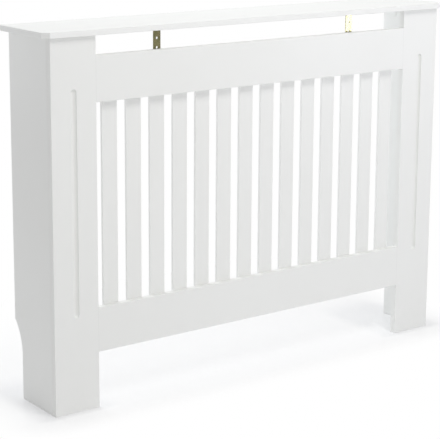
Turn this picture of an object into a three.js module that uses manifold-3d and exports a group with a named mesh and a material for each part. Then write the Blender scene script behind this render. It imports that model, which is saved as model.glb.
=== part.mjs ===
// Slatted radiator cover: a shelf on two side panels, closed in front by two fluted stiles, two rails
// and a row of vertical slats. Millimetres, +Z up. The front faces -Y, and the origin lies on the floor
// under the middle of the shelf.
import * as THREE from 'three';
import { mergeVertices } from 'three/addons/utils/BufferGeometryUtils.js';
import Module from 'manifold-3d';

const wasm = await Module();
wasm.setup();

// Driving dimensions ------------------------------------------------------------------------------

// the whole cover
const coverHeight = 815;
const frameWidth = 1080; // over the outer faces of the side panels
const frameDepth = 170; // front of the stiles to the rear edge of the side panels
const boardThickness = 15; // stiles, rails and side panels
const arrisEase = 0.6; // small chamfer that sanding leaves

// shelf
const shelfThickness = 12;
const sideOverhang = 17.5;
const frontOverhang = 10;
const rearOverhang = 10;
const shelfCornerCut = 13; // legs of the 45 degree cut at the two front corners

// stiles and their flutes
const stileWidth = 108;
const fluteWidth = 14;
const fluteDepth = 5;
const fluteTopMargin = 108; // top of the stile to the upper end of the flute
const fluteFloorMargin = 208; // floor to the lower end of the flute

// rails
const railHeight = 98;
const ventGap = 42; // air gap between the shelf and the top rail
const floorGap = 124; // air gap between the floor and the bottom rail

// slats
const slatCount = 14;
const slatWidth = 38;
const slatThickness = 6;
const slatLap = 35; // how far each end reaches over the back of its rail

// skirting cut-out in the side panels
const skirtingDepth = 30;
const skirtingHeight = 100; // top of the straight part
const coveHeight = 75; // rise of the hollow curve above it

// angle brackets between the top rail and the shelf
const bracketWidth = 18;
const bracketGauge = 2;
const bracketReach = 45; // leg under the shelf
const bracketBend = 3; // outer radius of the bend
const bracketTipRadius = 4;
const bracketSlatClearance = 15; // end of the upright leg to the slats below it
const bracketHoleRadius = 2.75;
const bracketHolePitch = 20;
const bracketFirstHole = 19; // from the shelf to the first hole of the upright leg
const bracketTipMargin = 9; // from the tip of the shelf leg to its outer hole

// cam locks in the side panels and their bolts
const camRadius = 7.5;
const camFloor = 2.5; // board left under a cam's pocket
const camSetback = 24; // joint face to the cam's centre
const camCrossLength = 9; // driver's cross in the open face
const camCrossWidth = 1.4;
const camCrossDepth = 2.2;
const boltSkin = 3; // board left over the end of a bolt in the shelf
const boltThreadRadius = 2.9;
const boltCollarRadius = 3.7;
const boltCollarLength = 1.2;
const boltShankRadius = 2.6;
const boltNeckRadius = 1.9;
const boltHeadRadius = 3;
const boltHeadLength = 2.6;
const stileCamMargin = 165; // from either end of the stile
const shelfCamMargin = 38; // from either edge of the side panel's top

// dowels
const dowelRadius = 4;
const dowelLength = 30;
const dowelTip = 1; // chamfer at both ends
const dowelInStile = 10; // reach into the back of a stile
const panelDowelMargin = 80; // from either end of the stile
const railDowelMargin = 24; // from either edge of a rail

// clearances
const fitClearance = 0.3; // round a fitting in its bore
const endClearance = 0.5; // past the end of a dowel or bolt

// Places that follow ------------------------------------------------------------------------------

const frameHeight = coverHeight - shelfThickness;
const shelfWidth = frameWidth + 2 * sideOverhang;
const shelfDepth = frontOverhang + frameDepth + rearOverhang;
const windowWidth = frameWidth - 2 * stileWidth;
const topRailFloor = frameHeight - ventGap - railHeight;
const slatFloor = floorGap + railHeight - slatLap;
const slatLength = topRailFloor + slatLap - slatFloor;
const slatGap = (windowWidth - slatCount * slatWidth) / (slatCount + 1);
const bracketOffset = frameWidth / 4; // from the middle of the cover
const bracketDrop = ventGap + railHeight - slatLap - bracketSlatClearance;
const camPocketDepth = boardThickness - camFloor;
const camHeight = camPocketDepth - fitClearance;
const boltThreadLength = shelfThickness - boltSkin;
const stileCamHeights = [stileCamMargin, frameHeight - stileCamMargin];
const shelfCamDepths = [boardThickness + shelfCamMargin, frameDepth - shelfCamMargin];
const panelDowelHeights = [panelDowelMargin, frameHeight - panelDowelMargin];
const railDowelHeights = [railDowelMargin, railHeight - railDowelMargin];
const roundSides = 20;
const quarterTurn = Math.PI / 2;
const overrun = 1; // how far a cutting tool starts outside the face it enters

// Finishes ----------------------------------------------------------------------------------------

function whitePaint() {
  return new THREE.MeshStandardMaterial({ color: 0xf2f2ef, roughness: 0.45, metalness: 0 });
}

function yellowZinc() {
  return new THREE.MeshStandardMaterial({ color: 0xb5a56a, roughness: 0.35, metalness: 1 });
}

function castZinc() {
  return new THREE.MeshStandardMaterial({ color: 0xb9bbbd, roughness: 0.4, metalness: 1 });
}

function beech() {
  return new THREE.MeshStandardMaterial({ color: 0xd9b98a, roughness: 0.7, metalness: 0 });
}

// Solids ------------------------------------------------------------------------------------------

function toSolid(geometry) {
  const bare = geometry.clone();
  bare.deleteAttribute('normal');
  bare.deleteAttribute('uv');
  const merged = mergeVertices(bare, 1e-4);
  return new wasm.Manifold(new wasm.Mesh({
    numProp: 3,
    vertProperties: new Float32Array(merged.attributes.position.array),
    triVerts: new Uint32Array(merged.index.array),
  }));
}

function toGeometry(solid) {
  const mesh = solid.getMesh();
  const geometry = new THREE.BufferGeometry();
  geometry.setAttribute('position', new THREE.BufferAttribute(mesh.vertProperties, 3));
  geometry.setIndex(new THREE.BufferAttribute(mesh.triVerts, 1));
  geometry.computeVertexNormals();
  return geometry;
}

// Cuts every tool out of a blank.
function cutAway(blank, tools) {
  return toGeometry(tools.reduce((solid, tool) => solid.subtract(toSolid(tool)), toSolid(blank)));
}

// Keeps what a blank and every other form have in common.
function keepCommon(blank, forms) {
  return toGeometry(forms.reduce((solid, form) => solid.intersect(toSolid(form)), toSolid(blank)));
}

function shapeOf(points) {
  return new THREE.Shape(points.map(([across, along]) => new THREE.Vector2(across, along)));
}

// A board of the given outline with eased arrises, its faces at z = 0 and z = thickness.
function easedBoard(outline, thickness, curveSegments = 12) {
  const board = new THREE.ExtrudeGeometry(outline, {
    depth: thickness - 2 * arrisEase,
    bevelEnabled: true,
    bevelThickness: arrisEase,
    bevelSize: arrisEase,
    bevelOffset: -arrisEase,
    bevelSegments: 1,
    curveSegments,
  });
  return board.translate(0, 0, arrisEase);
}

// A plain prism of the given outline, its ends at z = 0 and z = length.
function prism(outline, length, curveSegments = 4) {
  return new THREE.ExtrudeGeometry(outline, { depth: length, bevelEnabled: false, curveSegments });
}

// A solid of revolution about Y from [radius, height] points that start and end on the axis.
function turned(points, sides) {
  return new THREE.LatheGeometry(points.map(([r, h]) => new THREE.Vector2(r, h)), sides);
}

// Turns that bring something made along +Y to another direction.
const alongX = [0, 0, -quarterTurn];
const alongMinusX = [0, 0, quarterTurn];
const alongY = [0, 0, 0];
const alongMinusY = [2 * quarterTurn, 0, 0];
const alongZ = [quarterTurn, 0, 0];
const alongMinusZ = [-quarterTurn, 0, 0];

// A round bore of the given depth that enters a face at [x, y, z] in the given direction.
function bore(radius, depth, turn, [x, y, z]) {
  const cutter = new THREE.CylinderGeometry(radius, radius, depth + overrun, roundSides);
  cutter.translate(0, (depth - overrun) / 2, 0);
  cutter.applyMatrix4(new THREE.Matrix4().makeRotationFromEuler(new THREE.Euler(...turn)));
  return cutter.translate(x, y, z);
}

function threadBore(turn, place) {
  return bore(boltThreadRadius + fitClearance, boltThreadLength + endClearance, turn, place);
}

function boltBore(turn, place) {
  return bore(boltCollarRadius + fitClearance, camSetback, turn, place);
}

function dowelBore(reach, turn, place) {
  return bore(dowelRadius + fitClearance, reach + endClearance, turn, place);
}

// Shelf -------------------------------------------------------------------------------------------

// Lies on z = 0 with its middle at the origin; the bolts of the side panels enter from below.
function shelf() {
  const halfWidth = shelfWidth / 2;
  const halfDepth = shelfDepth / 2;
  const outline = shapeOf([
    [-halfWidth + shelfCornerCut, -halfDepth],
    [halfWidth - shelfCornerCut, -halfDepth],
    [halfWidth, -halfDepth + shelfCornerCut],
    [halfWidth, halfDepth],
    [-halfWidth, halfDepth],
    [-halfWidth, -halfDepth + shelfCornerCut],
  ]);
  const panelMiddle = (frameWidth - boardThickness) / 2;
  const bores = [-panelMiddle, panelMiddle].flatMap((x) => shelfCamDepths.map((depth) => (
    threadBore(alongZ, [x, frontOverhang - halfDepth + depth, 0])
  )));
  return cutAway(easedBoard(outline, shelfThickness), bores);
}

// Side panels -------------------------------------------------------------------------------------

// Outline in depth and height: the rear edge steps forward over the skirting by a hollow curve.
function panelOutline() {
  const coveRadius = (coveHeight ** 2 + skirtingDepth ** 2) / (2 * skirtingDepth);
  const coveSweep = Math.asin(coveHeight / coveRadius);
  const cutFront = frameDepth - skirtingDepth;
  const outline = new THREE.Shape();
  outline.moveTo(boardThickness, 0);
  outline.lineTo(cutFront, 0);
  outline.lineTo(cutFront, skirtingHeight);
  outline.absarc(cutFront + coveRadius, skirtingHeight, coveRadius, Math.PI, Math.PI - coveSweep, true);
  outline.lineTo(frameDepth, frameHeight);
  outline.lineTo(boardThickness, frameHeight);
  return outline;
}

// Centred on x = 0, with depth counted from the front of the stile; inward is +1 or -1 along X.
function sidePanel(inward) {
  const board = easedBoard(panelOutline(), boardThickness, 10);
  board.translate(0, 0, -boardThickness / 2).rotateX(quarterTurn).rotateZ(quarterTurn);
  const pocket = (depth, height) => bore(
    camRadius + fitClearance,
    camPocketDepth,
    inward > 0 ? alongMinusX : alongX,
    [inward * boardThickness / 2, depth, height],
  );
  const forStile = stileCamHeights.flatMap((height) => [
    pocket(boardThickness + camSetback, height),
    boltBore(alongY, [0, boardThickness, height]),
  ]);
  const forShelf = shelfCamDepths.flatMap((depth) => [
    pocket(depth, frameHeight - camSetback),
    boltBore(alongMinusZ, [0, depth, frameHeight]),
  ]);
  const forDowels = panelDowelHeights.map((height) => (
    dowelBore(dowelLength - dowelInStile, alongY, [0, boardThickness, height])
  ));
  return cutAway(board, [...forStile, ...forShelf, ...forDowels]);
}

// Stiles ------------------------------------------------------------------------------------------

// Cross-section of a board run to length, front face on y = 0, with the arrises of each edge eased
// by its own amount: a joint's edge stays square so that the two faces run into each other.
function boardSection(width, leftEase, rightEase) {
  const half = width / 2;
  const corner = (x, y, inX, inY, ease) => (
    ease > 0 ? [[x + inX * ease, y], [x, y + inY * ease]] : [[x, y]]
  );
  return shapeOf([
    ...corner(half, 0, -1, 1, rightEase),
    ...corner(half, boardThickness, -1, -1, rightEase).reverse(),
    ...corner(-half, boardThickness, 1, -1, leftEase),
    ...corner(-half, 0, 1, 1, leftEase).reverse(),
  ]);
}

// The path of a round-nosed cutter: a bar with ball ends, sunk into the face by the flute's depth.
function fluteCutter() {
  const radius = ((fluteWidth / 2) ** 2 + fluteDepth ** 2) / (2 * fluteDepth);
  const low = fluteFloorMargin + fluteWidth / 2;
  const high = frameHeight - fluteTopMargin - fluteWidth / 2;
  const steps = 6;
  const turns = Array.from({ length: steps + 1 }, (_, i) => quarterTurn * (i / steps));
  const lowerEnd = turns.map((turn) => [radius * Math.sin(turn), low - radius * Math.cos(turn)]);
  const upperEnd = turns.map((turn) => [radius * Math.cos(turn), high + radius * Math.sin(turn)]);
  upperEnd[steps][0] = 0;
  const cutter = turned([...lowerEnd, ...upperEnd], 32);
  return cutter.applyMatrix4(new THREE.Matrix4().makeRotationX(quarterTurn))
    .translate(0, fluteDepth - radius, 0);
}

// Centred on x = 0, standing on z = 0; outward is the side where the side panel stands behind it.
function stile(outward) {
  const innerEase = 0;
  const section = outward > 0
    ? boardSection(stileWidth, innerEase, arrisEase)
    : boardSection(stileWidth, arrisEase, innerEase);
  const panelMiddle = outward * (stileWidth - boardThickness) / 2;
  const bolts = stileCamHeights.map((height) => (
    threadBore(alongMinusY, [panelMiddle, boardThickness, height])
  ));
  const panelDowels = panelDowelHeights.map((height) => (
    dowelBore(dowelInStile, alongMinusY, [panelMiddle, boardThickness, height])
  ));
  const railDowels = [floorGap, topRailFloor].flatMap((floor) => railDowelHeights.map((height) => (
    dowelBore(
      dowelLength / 2,
      outward > 0 ? alongX : alongMinusX,
      [-outward * stileWidth / 2, boardThickness / 2, floor + height],
    )
  )));
  const tools = [fluteCutter(), ...bolts, ...panelDowels, ...railDowels];
  return cutAway(prism(section, frameHeight), tools);
}

// Rails -------------------------------------------------------------------------------------------

// Centred on x = 0, standing on z = 0, with square ends against the stiles.
function rail() {
  const board = prism(boardSection(railHeight, arrisEase, arrisEase), windowWidth);
  board.rotateY(quarterTurn).translate(-windowWidth / 2, 0, railHeight / 2);
  const bores = railDowelHeights.flatMap((height) => [
    dowelBore(dowelLength / 2, alongX, [-windowWidth / 2, boardThickness / 2, height]),
    dowelBore(dowelLength / 2, alongMinusX, [windowWidth / 2, boardThickness / 2, height]),
  ]);
  return cutAway(board, bores);
}

// Slats -------------------------------------------------------------------------------------------

// Centred on x = 0, standing on z = 0, front face on y = 0.
function slat() {
  const half = slatWidth / 2;
  const outline = shapeOf([[-half, 0], [half, 0], [half, slatLength], [-half, slatLength]]);
  return easedBoard(outline, slatThickness).rotateX(quarterTurn).translate(0, slatThickness, 0);
}

// Brackets ----------------------------------------------------------------------------------------

// A strip's outline from above its root down to a tip with rounded corners.
function strapOutline(reach) {
  const half = bracketWidth / 2;
  const round = bracketTipRadius;
  const outline = new THREE.Shape();
  outline.moveTo(-half, overrun);
  outline.lineTo(-half, round - reach);
  outline.absarc(round - half, round - reach, round, Math.PI, 3 * quarterTurn, false);
  outline.lineTo(half - round, -reach);
  outline.absarc(half - round, round - reach, round, 3 * quarterTurn, 4 * quarterTurn, false);
  outline.lineTo(half, overrun);
  return outline;
}

// Side view of the bent strip: the upright leg hangs from the corner, the other runs back from it.
function bentStrip() {
  const innerBend = bracketBend - bracketGauge;
  const side = new THREE.Shape();
  side.moveTo(0, -bracketDrop);
  side.lineTo(bracketGauge, -bracketDrop);
  side.lineTo(bracketGauge, -bracketBend);
  side.absarc(bracketBend, -bracketBend, innerBend, Math.PI, quarterTurn, true);
  side.lineTo(bracketReach, -bracketGauge);
  side.lineTo(bracketReach, 0);
  side.lineTo(bracketBend, 0);
  side.absarc(bracketBend, -bracketBend, bracketBend, quarterTurn, Math.PI, false);
  const strip = prism(side, bracketWidth);
  strip.translate(0, 0, -bracketWidth / 2);
  return strip.rotateX(quarterTurn).rotateZ(quarterTurn);
}

// Holes of the upright leg, measured down from the shelf, as many as the leg has room for.
function uprightHoles() {
  const room = bracketDrop - bracketFirstHole - 2 * bracketHoleRadius;
  const count = Math.floor(room / bracketHolePitch) + 1;
  return Array.from({ length: count }, (_, i) => bracketFirstHole + i * bracketHolePitch);
}

// The corner between the rail's back and the shelf's underside is at the origin.
function bracket() {
  const fromFront = prism(strapOutline(bracketDrop), bracketReach + 2 * overrun, 3);
  fromFront.rotateX(quarterTurn).translate(0, bracketReach + overrun, 0);
  const fromAbove = prism(strapOutline(bracketReach), bracketDrop + 2 * overrun, 3);
  fromAbove.rotateZ(2 * quarterTurn).translate(0, 0, -bracketDrop - overrun);
  const blank = keepCommon(bentStrip(), [fromFront, fromAbove]);
  const through = bracketGauge + overrun;
  const outerHole = bracketReach - bracketTipMargin;
  const holes = [
    ...uprightHoles().map((below) => bore(bracketHoleRadius, through, alongY, [0, 0, -below])),
    ...[outerHole - bracketHolePitch, outerHole].map((behind) => (
      bore(bracketHoleRadius, through, alongMinusZ, [0, behind, 0])
    )),
  ];
  return cutAway(blank, holes);
}

// Cam fittings ------------------------------------------------------------------------------------

// Drum with a mouth for the bolt's neck, a hollow for its head and a cross for the driver.
// Its axis is Y, its open face lies on y = 0 and its mouth looks along +X.
function camLock() {
  const rim = 0.4;
  const drum = turned([
    [0, -camHeight],
    [camRadius - rim, -camHeight],
    [camRadius, rim - camHeight],
    [camRadius, -rim],
    [camRadius - rim, 0],
    [0, 0],
  ], 28);
  const boltDepth = boardThickness / 2;
  const headRoom = 2 * (boltHeadRadius + fitClearance);
  const neckRoom = 2 * (boltNeckRadius + fitClearance);
  const hollow = new THREE.BoxGeometry(boltHeadLength + 2, headRoom, headRoom);
  const mouth = new THREE.BoxGeometry(camRadius + overrun, neckRoom, neckRoom);
  const entry = new THREE.BoxGeometry(headRoom, camHeight, headRoom);
  const acrossSlot = new THREE.BoxGeometry(camCrossLength, 2 * camCrossDepth, camCrossWidth);
  const alongSlot = new THREE.BoxGeometry(camCrossWidth, 2 * camCrossDepth, camCrossLength);
  return cutAway(drum, [
    hollow.translate(0, -boltDepth, 0),
    mouth.translate((camRadius + overrun) / 2, -boltDepth, 0),
    entry.translate(0, -boltDepth - camHeight / 2, 0),
    acrossSlot,
    alongSlot,
  ]);
}

// Bolt along Y: the thread runs down from the joint at y = 0, and the head lies in the cam's middle.
function camBolt() {
  const tip = 0.6;
  const headStart = camSetback - boltHeadLength / 2;
  const headEnd = headStart + boltHeadLength;
  const neckStart = camSetback - camRadius - endClearance;
  return turned([
    [0, -boltThreadLength],
    [boltThreadRadius - tip, -boltThreadLength],
    [boltThreadRadius, tip - boltThreadLength],
    [boltThreadRadius, 0],
    [boltCollarRadius, fitClearance],
    [boltCollarRadius, boltCollarLength],
    [boltShankRadius, boltCollarLength + tip],
    [boltShankRadius, neckStart - tip],
    [boltNeckRadius, neckStart],
    [boltNeckRadius, headStart],
    [boltHeadRadius, headStart + tip],
    [boltHeadRadius, headEnd - tip],
    [boltHeadRadius - tip, headEnd],
    [0, headEnd],
  ], 16);
}

// Dowel along Y that reaches the given length past y = 0.
function dowel(reach) {
  return turned([
    [0, reach - dowelLength],
    [dowelRadius - dowelTip, reach - dowelLength],
    [dowelRadius, reach - dowelLength + dowelTip],
    [dowelRadius, reach - dowelTip],
    [dowelRadius - dowelTip, reach],
    [0, reach],
  ], 16);
}

// Assembly ----------------------------------------------------------------------------------------

function addPiece(parent, name, geometry, material, place, turn = [0, 0, 0]) {
  const mesh = new THREE.Mesh(geometry, material);
  mesh.name = name;
  mesh.position.set(...place);
  mesh.rotation.set(...turn);
  parent.add(mesh);
}

// Turn that brings a piece's own X and Y axes to two given directions.
function turnTo(xDirection, yDirection) {
  const x = new THREE.Vector3(...xDirection);
  const y = new THREE.Vector3(...yDirection);
  const basis = new THREE.Matrix4().makeBasis(x, y, new THREE.Vector3().crossVectors(x, y));
  return new THREE.Euler().setFromRotationMatrix(basis).toArray();
}

const cover = new THREE.Group();
addPiece(cover, 'top_shelf', shelf(), whitePaint(), [0, 0, frameHeight]);

// rails, slats and brackets, with depth counted from the front of the stiles
const front = new THREE.Group();
front.position.set(0, frontOverhang - shelfDepth / 2, 0);
cover.add(front);
addPiece(front, 'top_rail', rail(), whitePaint(), [0, 0, topRailFloor]);
addPiece(front, 'bottom_rail', rail(), whitePaint(), [0, 0, floorGap]);
for (let index = 0; index < slatCount; index += 1) {
  const x = (slatWidth + slatGap) * (index + 0.5 - slatCount / 2);
  const name = `slat_${String(index + 1).padStart(2, '0')}`;
  addPiece(front, name, slat(), whitePaint(), [x, boardThickness, slatFloor]);
}
const cornerHeight = frameHeight;
addPiece(front, 'left_shelf_bracket', bracket(), yellowZinc(), [-bracketOffset, boardThickness, cornerHeight]);
addPiece(front, 'right_shelf_bracket', bracket(), yellowZinc(), [bracketOffset, boardThickness, cornerHeight]);

// each side: panel, stile, cam fittings and dowels, centred on the thickness of the side panel
[{ side: 'left', outward: -1 }, { side: 'right', outward: 1 }].forEach(({ side, outward }) => {
  const inward = -outward;
  const end = new THREE.Group();
  end.position.set(outward * (frameWidth - boardThickness) / 2, frontOverhang - shelfDepth / 2, 0);
  cover.add(end);

  const stileMiddle = inward * (stileWidth - boardThickness) / 2;
  addPiece(end, `${side}_side_panel`, sidePanel(inward), whitePaint(), [0, 0, 0]);
  addPiece(end, `${side}_stile`, stile(outward), whitePaint(), [stileMiddle, 0, 0]);

  // the drum's open face lies flush with the panel's inner face and its mouth meets the bolt
  const camX = inward * boardThickness / 2;
  stileCamHeights.forEach((height, index) => {
    const turn = turnTo([0, -1, 0], [inward, 0, 0]);
    const place = [camX, boardThickness + camSetback, height];
    addPiece(end, `cam_lock_${side}_stile_${index + 1}`, camLock(), castZinc(), place, turn);
    const joint = [0, boardThickness, height];
    addPiece(end, `cam_bolt_${side}_stile_${index + 1}`, camBolt(), castZinc(), joint);
  });
  shelfCamDepths.forEach((depth, index) => {
    const turn = turnTo([0, 0, 1], [inward, 0, 0]);
    const place = [camX, depth, frameHeight - camSetback];
    addPiece(end, `cam_lock_${side}_shelf_${index + 1}`, camLock(), castZinc(), place, turn);
    const joint = [0, depth, frameHeight];
    addPiece(end, `cam_bolt_${side}_shelf_${index + 1}`, camBolt(), castZinc(), joint, alongMinusZ);
  });

  panelDowelHeights.forEach((height, index) => {
    const peg = dowel(dowelLength - dowelInStile);
    addPiece(end, `panel_dowel_${side}_${index + 1}`, peg, beech(), [0, boardThickness, height]);
  });
  const railEnd = inward * (stileWidth - boardThickness / 2);
  [['top', topRailFloor], ['bottom', floorGap]].forEach(([railName, floor]) => {
    railDowelHeights.forEach((height, index) => {
      const place = [railEnd, boardThickness / 2, floor + height];
      const name = `${railName}_rail_dowel_${side}_${index + 1}`;
      addPiece(end, name, dowel(dowelLength / 2), beech(), place, alongX);
    });
  });
});

export default cover;
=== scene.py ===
import math

import bmesh
import bpy
from mathutils import Matrix, Vector


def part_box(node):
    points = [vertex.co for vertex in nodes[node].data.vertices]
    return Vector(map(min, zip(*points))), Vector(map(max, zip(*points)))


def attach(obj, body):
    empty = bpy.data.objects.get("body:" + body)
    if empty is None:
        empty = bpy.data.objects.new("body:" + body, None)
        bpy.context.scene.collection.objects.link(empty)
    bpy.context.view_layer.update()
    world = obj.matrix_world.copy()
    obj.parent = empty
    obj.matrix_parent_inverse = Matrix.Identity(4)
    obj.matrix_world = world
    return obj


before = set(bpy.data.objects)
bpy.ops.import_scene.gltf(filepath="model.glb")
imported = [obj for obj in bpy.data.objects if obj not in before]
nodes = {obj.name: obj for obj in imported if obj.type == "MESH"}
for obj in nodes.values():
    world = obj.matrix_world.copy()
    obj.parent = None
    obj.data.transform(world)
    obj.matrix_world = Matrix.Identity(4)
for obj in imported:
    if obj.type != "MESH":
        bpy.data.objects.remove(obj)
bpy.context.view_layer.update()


# --- Side panels ---------------------------------------------------------------------------------
# Two upright boards of 15 mm fibreboard, cut out over the skirting at the lower rear corner.
# They are primed, sanded and sprayed with a satin white; the sawn edges drink more paint than
# the faces, so they stay a little rougher.

class Signal:
    """A shader socket that takes part in Python sums; each operator adds one Math node."""

    def __init__(self, tree, socket=None):
        self.tree = tree
        self.socket = socket

    def add(self, kind, settings=None, sockets=None, out=0):
        """Any other node: its type, its settings, the values or links of its sockets."""
        node = self.tree.nodes.new(kind)
        for name, value in (settings or {}).items():
            setattr(node, name, value)
        for name, value in (sockets or {}).items():
            if isinstance(value, Signal):
                self.tree.links.new(value.socket, node.inputs[name])
            else:
                node.inputs[name].default_value = value
        return Signal(self.tree, node.outputs[out])

    def math(self, operation, left, right=0.0):
        return self.add("ShaderNodeMath", {"operation": operation}, {0: left, 1: right})

    def __add__(self, other):
        return self.math("ADD", self, other)

    def __radd__(self, other):
        return self.math("ADD", other, self)

    def __sub__(self, other):
        return self.math("SUBTRACT", self, other)

    def __rsub__(self, other):
        return self.math("SUBTRACT", other, self)

    def __mul__(self, other):
        return self.math("MULTIPLY", self, other)

    def __rmul__(self, other):
        return self.math("MULTIPLY", other, self)

    def __abs__(self):
        return self.math("ABSOLUTE", self)

    def ramp(self, low, high):
        """0 below low, 1 above high and a smooth step between them."""
        return self.add("ShaderNodeMapRange", {"interpolation_type": "SMOOTHSTEP"},
                        {"Value": self, "From Min": low, "From Max": high})

    def blend(self, dark, light):
        """The first colour where the signal is 0 and the second where it is 1."""
        ends = [end if isinstance(end, Signal) else (*end, 1.0) for end in (dark, light)]
        return self.add("ShaderNodeMix", {"data_type": "RGBA"},
                        {"Factor": self, 6: ends[0], 7: ends[1]}, out=2)


def new_finish(name):
    """A material with its Principled shader, and a signal for what the material reads."""
    material = bpy.data.materials.new(name)
    material.use_nodes = True
    shader = material.node_tree.nodes["Principled BSDF"]
    return material, shader, Signal(material.node_tree)


def connect(signal, socket):
    signal.tree.links.new(signal.socket, socket)


def noise(place, cells_per_metre, detail=2.0, stretch=None):
    """Cloudy noise on object coordinates, with about so many cells to the metre."""
    if stretch:
        place = place.add("ShaderNodeMapping", {}, {"Vector": place, "Scale": stretch})
    return place.add("ShaderNodeTexNoise", {}, {
        "Vector": place, "Scale": cells_per_metre, "Detail": detail, "Roughness": 0.55})


PAINT = (0.868, 0.872, 0.856)
PAINT_THIN = (0.850, 0.852, 0.832)
EDGE_PAINT = (0.859, 0.862, 0.844)
JOINT_SHADE = (0.6, 0.6, 0.59)
PAINT_ROUGHNESS = 0.38
EDGE_ROUGHNESS = 0.52
FILM_CELLS = 6.0        # cells of noise to the metre, here and below
JOINT_CELLS = 40.0
PEEL_CELLS = 420.0
FIBRE_CELLS = 1500.0
JOINT_FROM = 0.0006     # how far before the joint the hairline starts and is full
JOINT_FULL = 0.0001
PEEL_DEPTH = 0.00018


def painted_board(name, face_axis, joint_at=None, edge_colour=EDGE_PAINT):
    """Sprayed satin white on a board whose faces look along face_axis, jointed at +-joint_at."""
    material, shader, signal = new_finish(name)
    place = signal.add("ShaderNodeTexCoord", out="Object")
    normal = signal.add("ShaderNodeNewGeometry", out="Normal")
    facing = abs(signal.add("ShaderNodeVectorMath", {"operation": "DOT_PRODUCT"},
                            {0: normal, 1: face_axis}, out="Value"))
    edge = 1.0 - facing.ramp(0.4, 0.8)

    # thickness of the film wanders over a hand's width
    film = noise(place, FILM_CELLS, 3.0)
    thin = film.ramp(0.35, 0.75) * 0.35
    # edges take edge_colour: a thinner film by default, and on the slats and the shelf a paler
    # colour that is painted light
    colour = edge.blend(thin.blend(PAINT, PAINT_THIN), edge_colour)
    if joint_at:
        # hairline where the rail's square end meets the stile under the paint
        across = signal.add("ShaderNodeSeparateXYZ", {}, {"Vector": place}, out="X")
        joint = abs(across).ramp(joint_at - JOINT_FROM, joint_at - JOINT_FULL)
        shade = joint * (0.4 + 0.6 * noise(place, JOINT_CELLS))
        colour = shade.blend(colour, JOINT_SHADE)
    connect(colour, shader.inputs["Base Color"])

    # fine orange peel from the spray gun on faces, raised fibre on edges
    peel = noise(place, PEEL_CELLS)
    fibre = noise(place, FIBRE_CELLS, 3.0)
    height = peel * (1.0 - edge) + (0.45 * peel + 0.75 * fibre) * edge
    bump = signal.add("ShaderNodeBump", {}, {
        "Strength": 0.22, "Distance": PEEL_DEPTH, "Height": height})
    connect(bump, shader.inputs["Normal"])

    gloss = PAINT_ROUGHNESS + (film - 0.5) * 0.10 + edge * (EDGE_ROUGHNESS - PAINT_ROUGHNESS)
    connect(gloss, shader.inputs["Roughness"])
    shader.inputs["IOR"].default_value = 1.47
    shader.inputs["Specular IOR Level"].default_value = 0.45
    return material


def dress(name, material):
    """Gives a node of the frame its finish."""
    for slot in nodes[name].material_slots:
        slot.material = material


panel_paint = painted_board("panel_paint", (1.0, 0.0, 0.0))
for side in ("left", "right"):
    dress(f"{side}_side_panel", panel_paint)


# --- Stiles --------------------------------------------------------------------------------------
# The two front legs, 108 mm wide, each with a flute run by a round-nosed cutter. The cutter
# bares the core of the board, which drinks the paint, so the film in the flute is thinner.

FLUTE_HALF_WIDTH = 0.007
FLUTE_ARRIS = 0.0008
SUNK_FROM = 0.0002      # depths behind the face between which the film thins
SUNK_TO = 0.0015


def fluted_board(name, middle, front):
    """Painted board with a thinner film in the flute along its middle."""
    material = painted_board(name, (0.0, 1.0, 0.0))
    signal = Signal(material.node_tree)
    shader = material.node_tree.nodes["Principled BSDF"]
    place = signal.add("ShaderNodeTexCoord", out="Object")
    across = signal.add("ShaderNodeSeparateXYZ", {}, {"Vector": place}, out="X")
    inside = 1.0 - abs(across - middle).ramp(FLUTE_HALF_WIDTH - FLUTE_ARRIS, FLUTE_HALF_WIDTH)
    depth = signal.add("ShaderNodeSeparateXYZ", {}, {"Vector": place}, out="Y")
    sunk = depth.ramp(front + SUNK_FROM, front + SUNK_TO) * inside
    sprayed = Signal(material.node_tree, shader.inputs["Base Color"].links[0].from_socket)
    connect((sunk * 0.5).blend(sprayed, PAINT_THIN), shader.inputs["Base Color"])
    return material


for side in ("left", "right"):
    lo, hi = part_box(f"{side}_stile")
    dress(f"{side}_stile", fluted_board(f"{side}_stile_paint", (lo[0] + hi[0]) / 2, lo[1]))


# --- Rails ---------------------------------------------------------------------------------------
# Two boards between the stiles, flush with them in front, glued and dowelled. Their square ends
# show as a hairline under the paint.

rail_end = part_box("top_rail")[1][0]
rail_paint = painted_board("rail_paint", (0.0, 1.0, 0.0), joint_at=rail_end)
for name in ("top_rail", "bottom_rail"):
    dress(name, rail_paint)


# --- Slats ---------------------------------------------------------------------------------------
# Fourteen thin strips of 6 mm board behind the rails, sprayed before they are fixed. Their edges
# are coloured paler than their faces: painted light where the sides sit in shade.
# Two headed pins hold each end to the back of its rail.

# painted light: the slats' edges are coloured paler than their faces, where their sides sit in
# shade
SLAT_EDGE_PAINTED_LIGHT = (0.945, 0.945, 0.935)
slat_names = sorted(name for name in nodes if name.startswith("slat_"))
slat_paint_and_painted_light = painted_board("slat_paint_and_painted_light", (0.0, 1.0, 0.0), edge_colour=SLAT_EDGE_PAINTED_LIGHT)
for name in slat_names:
    dress(name, slat_paint_and_painted_light)

PIN_RADIUS = 0.0011
PIN_TAPER = 0.7
PIN_PROUD = 0.0004
PIN_OFFSET = 0.010
PIN_SIDES = 10
PIN_STEEL = (0.62, 0.62, 0.63)
PIN_TARNISH = (0.5, 0.49, 0.47)
CLOUD_CELLS = 90.0
SPECK_CELLS = 900.0
SPECK_DEPTH = 0.00008
WELD = 1e-7


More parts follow.
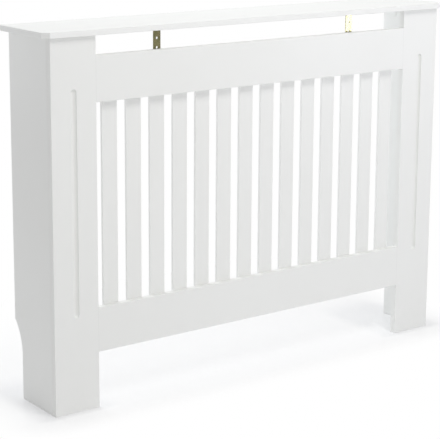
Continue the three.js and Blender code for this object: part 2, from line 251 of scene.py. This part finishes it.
def steel_finish(name, colour, tarnish, roughness):
    """Plated metal: a bright coat that clouds over and picks up fine scratches."""
    material, shader, signal = new_finish(name)
    place = signal.add("ShaderNodeTexCoord", out="Object")
    cloud = noise(place, CLOUD_CELLS, 4.0).ramp(0.3, 0.7)
    speck = noise(place, SPECK_CELLS)
    connect(cloud.blend(colour, tarnish), shader.inputs["Base Color"])
    connect(roughness + (speck - 0.5) * 0.2 + cloud * 0.08, shader.inputs["Roughness"])
    connect(signal.add("ShaderNodeBump", {}, {
        "Strength": 0.3, "Distance": SPECK_DEPTH, "Height": speck}), shader.inputs["Normal"])
    shader.inputs["Metallic"].default_value = 1.0
    return material


def finish_mesh(name, mesh, material):
    """Turns a bmesh into a piece that rides on the one body of the cover."""
    bmesh.ops.remove_doubles(mesh, verts=mesh.verts, dist=WELD)
    bmesh.ops.recalc_face_normals(mesh, faces=mesh.faces)
    data = bpy.data.meshes.new(name)
    mesh.to_mesh(data)
    mesh.free()
    data.materials.append(material)
    piece = bpy.data.objects.new(name, data)
    bpy.context.scene.collection.objects.link(piece)
    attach(piece, "root")
    return piece


pins = bmesh.new()
for name in slat_names:
    lo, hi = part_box(name)
    middle = (lo[0] + hi[0]) / 2
    laps = ((lo[2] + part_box("bottom_rail")[1][2]) / 2, (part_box("top_rail")[0][2] + hi[2]) / 2)
    for height in laps:
        for offset in (-PIN_OFFSET, PIN_OFFSET):
            bmesh.ops.create_cone(
                pins, cap_ends=True, segments=PIN_SIDES, radius1=PIN_RADIUS,
                radius2=PIN_RADIUS * PIN_TAPER, depth=PIN_PROUD * 2,
                matrix=Matrix.Translation((middle + offset, hi[1], height))
                @ Matrix.Rotation(-math.pi / 2, 4, "X"))
pin_steel = steel_finish("pin_steel", PIN_STEEL, PIN_TARNISH, 0.4)
finish_mesh("slat_pins", pins, pin_steel)


# --- Cam fittings and dowels ---------------------------------------------------------------------
# Die-cast zinc cams sit in the inner faces of the side panels and pull on plated bolts, and
# turned beech dowels keep the boards in line. Only the slotted faces of the cams can be seen.

CAM_ZINC = (0.66, 0.67, 0.68)
CAM_TARNISH = (0.52, 0.53, 0.55)
BEECH_PALE = (0.62, 0.44, 0.27)
BEECH_DARK = (0.46, 0.30, 0.17)
GRAIN_CELLS = 700.0

cam_metal = steel_finish("cam_metal", CAM_ZINC, CAM_TARNISH, 0.42)

beech, beech_shader, grain = new_finish("beech")
place = grain.add("ShaderNodeTexCoord", out="Object")
streak = noise(place, GRAIN_CELLS, 3.0).ramp(0.35, 0.7)
connect(streak.blend(BEECH_PALE, BEECH_DARK), beech_shader.inputs["Base Color"])
connect(0.6 + 0.15 * streak, beech_shader.inputs["Roughness"])
for name in nodes:
    if name.startswith("cam_"):
        dress(name, cam_metal)
    elif "dowel" in name:
        dress(name, beech)


# --- Cam caps ------------------------------------------------------------------------------------
# Thin domed caps of moulded white plastic, pressed over the four cams that pull the shelf down,
# because those can be seen through the gap under the shelf.

CAP_RADIUS = 0.0086
CAP_PROUD = 0.0009
CAP_RIM = 0.0003
CAP_SIDES = 40
CAP_WHITE = (0.86, 0.865, 0.855)
CAP_AGED = (0.84, 0.84, 0.82)
AGED_CELLS = 60.0
SPARK_CELLS = 1600.0
SPARK_DEPTH = 0.00005
POLE_WELD = 1e-6

cap_plastic, cap_shader, signal = new_finish("cap_plastic")
place = signal.add("ShaderNodeTexCoord", out="Object")
aged = noise(place, AGED_CELLS).ramp(0.3, 0.8)
spark = noise(place, SPARK_CELLS)
connect(aged.blend(CAP_WHITE, CAP_AGED), cap_shader.inputs["Base Color"])
connect(0.34 + 0.12 * spark, cap_shader.inputs["Roughness"])
connect(signal.add("ShaderNodeBump", {}, {
    "Strength": 0.2, "Distance": SPARK_DEPTH, "Height": spark}), cap_shader.inputs["Normal"])


def spun(profile, sides):
    """The solid that a profile of (radius, height) points sweeps about Z."""
    made = bmesh.new()
    points = [made.verts.new((radius, 0.0, height)) for radius, height in profile]
    edges = [made.edges.new(pair) for pair in zip(points, points[1:])]
    bmesh.ops.spin(made, geom=points + edges, cent=(0, 0, 0), axis=(0, 0, 1),
                   angle=math.tau, steps=sides, use_merge=True)
    bmesh.ops.remove_doubles(made, verts=made.verts, dist=POLE_WELD)
    return made


def put_in(group, made, place, turn):
    """Turns one solid, sets it at its place and joins it to the mesh of its group."""
    bmesh.ops.transform(made, matrix=Matrix.Translation(place) @ turn, verts=made.verts)
    data = bpy.data.meshes.new("single")
    made.to_mesh(data)
    made.free()
    group.from_mesh(data)
    bpy.data.meshes.remove(data)


cap_profile = [(0.0, CAP_PROUD), (CAP_RADIUS * 0.5, CAP_PROUD * 0.93),
               (CAP_RADIUS * 0.8, CAP_PROUD * 0.74), (CAP_RADIUS - CAP_RIM, CAP_PROUD * 0.42),
               (CAP_RADIUS, CAP_PROUD * 0.2), (CAP_RADIUS, 0.0), (0.0, 0.0)]
caps = bmesh.new()
for side, inward in (("left", 1.0), ("right", -1.0)):
    for number in (1, 2):
        lo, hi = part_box(f"cam_lock_{side}_shelf_{number}")
        centre = (hi[0] if inward > 0 else lo[0], (lo[1] + hi[1]) / 2, (lo[2] + hi[2]) / 2)
        put_in(caps, spun(cap_profile, CAP_SIDES), centre,
               Matrix.Rotation(inward * math.pi / 2, 4, "Y"))
cap_piece = finish_mesh("cam_caps", caps, cap_plastic)
for face in cap_piece.data.polygons:
    face.use_smooth = True


# --- Angle brackets ------------------------------------------------------------------------------
# Two strips of 2 mm steel, bent, punched, plated with yellow zinc and sealed with a clear
# lacquer. They hang behind the top rail and screw up into the shelf.

OLIVE_PALE = (0.180, 0.168, 0.080)
OLIVE_DARK = (0.122, 0.118, 0.052)
BRONZE = (0.24, 0.185, 0.10)
BLOOM_CELLS = 55.0
TINT_CELLS = 140.0
SCUFF_CELLS = 300.0
SCUFF_STRETCH = (4.0, 4.0, 0.6)
SCUFF_DEPTH = 0.0001

bracket_zinc, zinc_shader, signal = new_finish("bracket_zinc")
place = signal.add("ShaderNodeTexCoord", out="Object")
bloom = noise(place, BLOOM_CELLS, 3.0).ramp(0.3, 0.7)
tint = noise(place, TINT_CELLS).ramp(0.4, 0.75)
olive = bloom.blend(OLIVE_PALE, OLIVE_DARK)
connect((tint * 0.45).blend(olive, BRONZE), zinc_shader.inputs["Base Color"])
scuff = noise(place, SCUFF_CELLS, 3.0, stretch=SCUFF_STRETCH)
connect(0.175 + 0.11 * scuff, zinc_shader.inputs["Roughness"])
connect(signal.add("ShaderNodeBump", {}, {
    "Strength": 0.1, "Distance": SCUFF_DEPTH, "Height": scuff}), zinc_shader.inputs["Normal"])
zinc_shader.inputs["Metallic"].default_value = 1.0
zinc_shader.inputs["Coat Weight"].default_value = 0.25
zinc_shader.inputs["Coat Roughness"].default_value = 0.12
for side in ("left", "right"):
    dress(f"{side}_shelf_bracket", bracket_zinc)


# --- Bracket screws ------------------------------------------------------------------------------
# Short pan-head screws with a cross recess, plated like the brackets: two into the rail and two
# up into the shelf at each bracket.

SCREW_HEAD_RADIUS = 0.0036
SCREW_HEAD_HEIGHT = 0.0022
SCREW_HEAD_RIM = 0.0003
SCREW_TOP_RADIUS = 0.0023
CROSS_REACH = 0.0017
CROSS_HALF_WIDTH = 0.00035
CROSS_DEPTH = 0.0012
SCREW_SHANK_RADIUS = 0.0017
SCREW_LENGTH = 0.011
SCREW_SIDES = 20
STRAP = 0.002           # thickness of the bracket
UPRIGHT_DROPS = (0.059, 0.079)
SHELF_SETBACKS = (0.016, 0.036)


def screw():
    """One screw with its head seated on z = 0 and its shank down -Z."""
    profile = [(SCREW_TOP_RADIUS, SCREW_HEAD_HEIGHT),
               (SCREW_HEAD_RADIUS * 0.86, SCREW_HEAD_HEIGHT * 0.68),
               (SCREW_HEAD_RADIUS, SCREW_HEAD_RIM), (SCREW_HEAD_RADIUS, 0.0),
               (SCREW_SHANK_RADIUS, 0.0), (SCREW_SHANK_RADIUS, -SCREW_LENGTH * 0.8),
               (0.0, -SCREW_LENGTH)]
    made = spun(profile, SCREW_SIDES)
    rim = [edge for edge in made.edges if edge.is_boundary]

    # the cross: four arms cut in the flat of the head
    arm = ((CROSS_REACH, -CROSS_HALF_WIDTH), (CROSS_REACH, CROSS_HALF_WIDTH),
           (CROSS_HALF_WIDTH, CROSS_HALF_WIDTH))
    corners = [made.verts.new(Matrix.Rotation(quarter * math.pi / 2, 3, "Z")
                              @ Vector((along, aside, SCREW_HEAD_HEIGHT)))
               for quarter in range(4) for along, aside in arm]
    mouth = [made.edges.new(pair) for pair in zip(corners, corners[1:] + corners[:1])]
    bmesh.ops.triangle_fill(made, edges=rim + mouth, normal=(0, 0, 1))
    walls = bmesh.ops.extrude_edge_only(made, edges=mouth)["geom"]
    lowered = [item for item in walls if isinstance(item, bmesh.types.BMVert)]
    bmesh.ops.translate(made, verts=lowered, vec=(0, 0, -CROSS_DEPTH))
    bottom = [edge for edge in made.edges if edge.is_boundary]
    bmesh.ops.triangle_fill(made, edges=bottom, normal=(0, 0, 1))
    return made


screws = bmesh.new()
for side in ("left", "right"):
    lo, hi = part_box(f"{side}_shelf_bracket")
    middle = (lo[0] + hi[0]) / 2
    for drop in UPRIGHT_DROPS:
        put_in(screws, screw(), (middle, lo[1] + STRAP, hi[2] - drop),
               Matrix.Rotation(-math.pi / 2, 4, "X"))
    for setback in SHELF_SETBACKS:
        put_in(screws, screw(), (middle, lo[1] + setback, hi[2] - STRAP),
               Matrix.Rotation(math.pi, 4, "X"))
finish_mesh("bracket_screws", screws, bracket_zinc)


# --- Shelf ---------------------------------------------------------------------------------------
# One 12 mm board, proud of the frame all round, with its front corners cut at 45 degrees. It
# lies on the panels, stiles and brackets. Its edges are coloured paler than its faces: a painted
# highlight, as if the edges were rounded and caught the light from above.

# painted highlight: the shelf's edges are coloured paler than its faces
SHELF_EDGE_PAINTED_HIGHLIGHT = (0.906, 0.910, 0.898)
dress("top_shelf", painted_board("shelf_paint_and_painted_highlight", (0.0, 0.0, 1.0), edge_colour=SHELF_EDGE_PAINTED_HIGHLIGHT))


# --- Studio --------------------------------------------------------------------------------------
# A seamless white floor in a white surround, lit by five softboxes: the key above in front, a warm
# fill low at the left, a small one low at the right, one above and one behind. The camera stands
# to the left at chest height, tilted a little down.

FLOOR_SIZE = 60.0
FLOOR_DROP = 0.0002
floor_mesh = bmesh.new()
bmesh.ops.create_grid(floor_mesh, x_segments=1, y_segments=1, size=FLOOR_SIZE / 2,
                      matrix=Matrix.Translation((0.0, 0.0, -FLOOR_DROP)))
floor_data = bpy.data.meshes.new("floor")
floor_mesh.to_mesh(floor_data)
floor_mesh.free()
floor = bpy.data.objects.new("floor", floor_data)
bpy.context.scene.collection.objects.link(floor)


def seen_directly(signal):
    """1 on rays from the camera and on mirrored or refracted ones, 0 on light that bounces."""
    kinds = ("Is Camera Ray", "Is Glossy Ray", "Is Transmission Ray")
    camera_ray, glossy, through = (signal.add("ShaderNodeLightPath", out=kind) for kind in kinds)
    return signal.math("MINIMUM", camera_ray + glossy + through, 1.0)


# the floor shows its own shade at the feet and under the cover, and runs out into plain white
GLOW_NEAR = 0.18
GLOW_MIDDLE = 0.60
GLOW_FAR = 1.0
NEAR_FOOT = (0.008, 0.06)
NEAR_COVER = (0.03, 0.3)
FRONT_PACE = 2.6        # how fast the shade fades in front, behind and beside
BACK_PACE = 0.5
SIDE_PACE = 2.0
FLOOR_TINT = (0.91, 0.91, 0.922, 1.0)

foot_lo, foot_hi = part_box("right_stile")
foot_middle = (foot_lo[0] + foot_hi[0]) / 2
foot_half = (foot_hi[0] - foot_lo[0]) / 2
cover_half = foot_hi[0]
cover_front = foot_lo[1]
cover_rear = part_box("right_side_panel")[1][1]

floor_white, floor_shader, signal = new_finish("floor_white")
floor_shader.inputs["Base Color"].default_value = FLOOR_TINT
floor_shader.inputs["Roughness"].default_value = 0.22
place = signal.add("ShaderNodeTexCoord", out="Object")
across = abs(signal.add("ShaderNodeSeparateXYZ", {}, {"Vector": place}, out="X"))
deep = signal.add("ShaderNodeSeparateXYZ", {}, {"Vector": place}, out="Y")


def beyond(distance):
    """A distance, or 0 where it is negative."""
    return signal.math("MAXIMUM", distance, 0.0)


before = beyond(cover_front - deep) * FRONT_PACE + beyond(deep - cover_rear) * BACK_PACE
beside = beyond(abs(across - foot_middle) - foot_half)
outside = beyond(across - cover_half) * SIDE_PACE
from_foot = signal.math("SQRT", beside * beside + before * before)
from_cover = signal.math("SQRT", outside * outside + before * before)
glow = (GLOW_NEAR + (GLOW_MIDDLE - GLOW_NEAR) * from_foot.ramp(*NEAR_FOOT)
        + (GLOW_FAR - GLOW_MIDDLE) * from_cover.ramp(*NEAR_COVER))
white = signal.add("ShaderNodeEmission", {}, {"Color": (1.0, 1.0, 1.0, 1.0), "Strength": 1.0})
mixed = signal.add("ShaderNodeMixShader", {}, {
    0: seen_directly(signal) * glow, 1: Signal(signal.tree, floor_shader.outputs[0]), 2: white})
connect(mixed, signal.tree.nodes["Material Output"].inputs["Surface"])
floor_data.materials.append(floor_white)

AMBIENT = 0.51
world = bpy.data.worlds.new("surround")
bpy.context.scene.world = world
world.use_nodes = True
background = world.node_tree.nodes["Background"]
background.inputs["Color"].default_value = (1.0, 1.0, 1.0, 1.0)
connect(AMBIENT + seen_directly(Signal(world.node_tree)) * (1.0 - AMBIENT),
        background.inputs["Strength"])


def add_softbox(name, place, aim, width, height, watts, colour):
    """A soft lamp of that width and height at a place, turned towards a point."""
    lamp = bpy.data.lights.new(name, "AREA")
    lamp.shape = "RECTANGLE"
    lamp.size = width
    lamp.size_y = height
    lamp.energy = watts
    lamp.color = colour
    softbox = bpy.data.objects.new(name, lamp)
    softbox.location = place
    softbox.rotation_euler = (Vector(aim) - Vector(place)).to_track_quat("-Z", "Y").to_euler()
    bpy.context.scene.collection.objects.link(softbox)


NEUTRAL = (1.0, 0.995, 0.98)
WARM = (1.0, 0.99, 0.94)
COOL = (0.93, 0.965, 1.0)
BLUISH = (0.87, 0.89, 1.0)
add_softbox("key_softbox", (0.2, -1.6, 2.6), (0.1, 0.0, 0.4), 1.0, 1.0, 21.8, NEUTRAL)
add_softbox("left_softbox", (-1.2, -2.3, 0.5), (0.0, 0.0, 0.25), 1.4, 0.8, 3.8, WARM)
add_softbox("low_softbox", (1.93, -1.94, 0.52), (0.27, -0.07, 0.79), 0.34, 0.34, 7.0, BLUISH)
add_softbox("top_softbox", (0.1, 0.7, 2.3), (0.0, 0.1, 0.8), 1.6, 1.0, 8.4, COOL)
add_softbox("rear_softbox", (-0.5, 1.5, 0.9), (0.45, 0.0, 0.4), 1.0, 1.0, 11.2, COOL)

FRAME_WIDTH = 440.0
FOCAL_PIXELS = 1467.9
CAMERA_TILT = 0.2015
CAMERA_HEADING = 0.6260
CAMERA_ROLL = 0.0029
CAMERA_PLACE = (-2.0115, -2.6281, 1.1571)
CAMERA_SHIFT = (0.05, -0.14)
SENSOR_WIDTH = 36.0
camera_data = bpy.data.cameras.new("camera")
camera_data.sensor_width = SENSOR_WIDTH
camera_data.lens = FOCAL_PIXELS / FRAME_WIDTH * SENSOR_WIDTH
camera_data.shift_x, camera_data.shift_y = CAMERA_SHIFT
camera = bpy.data.objects.new("camera", camera_data)
camera.location = CAMERA_PLACE
camera.rotation_euler = (
    Matrix.Rotation(-CAMERA_HEADING, 4, "Z") @ Matrix.Rotation(math.pi / 2 - CAMERA_TILT, 4, "X")
    @ Matrix.Rotation(CAMERA_ROLL, 4, "Z")).to_euler()
bpy.context.scene.collection.objects.link(camera)
bpy.context.scene.camera = camera

bpy.context.scene.view_settings.view_transform = "Standard"
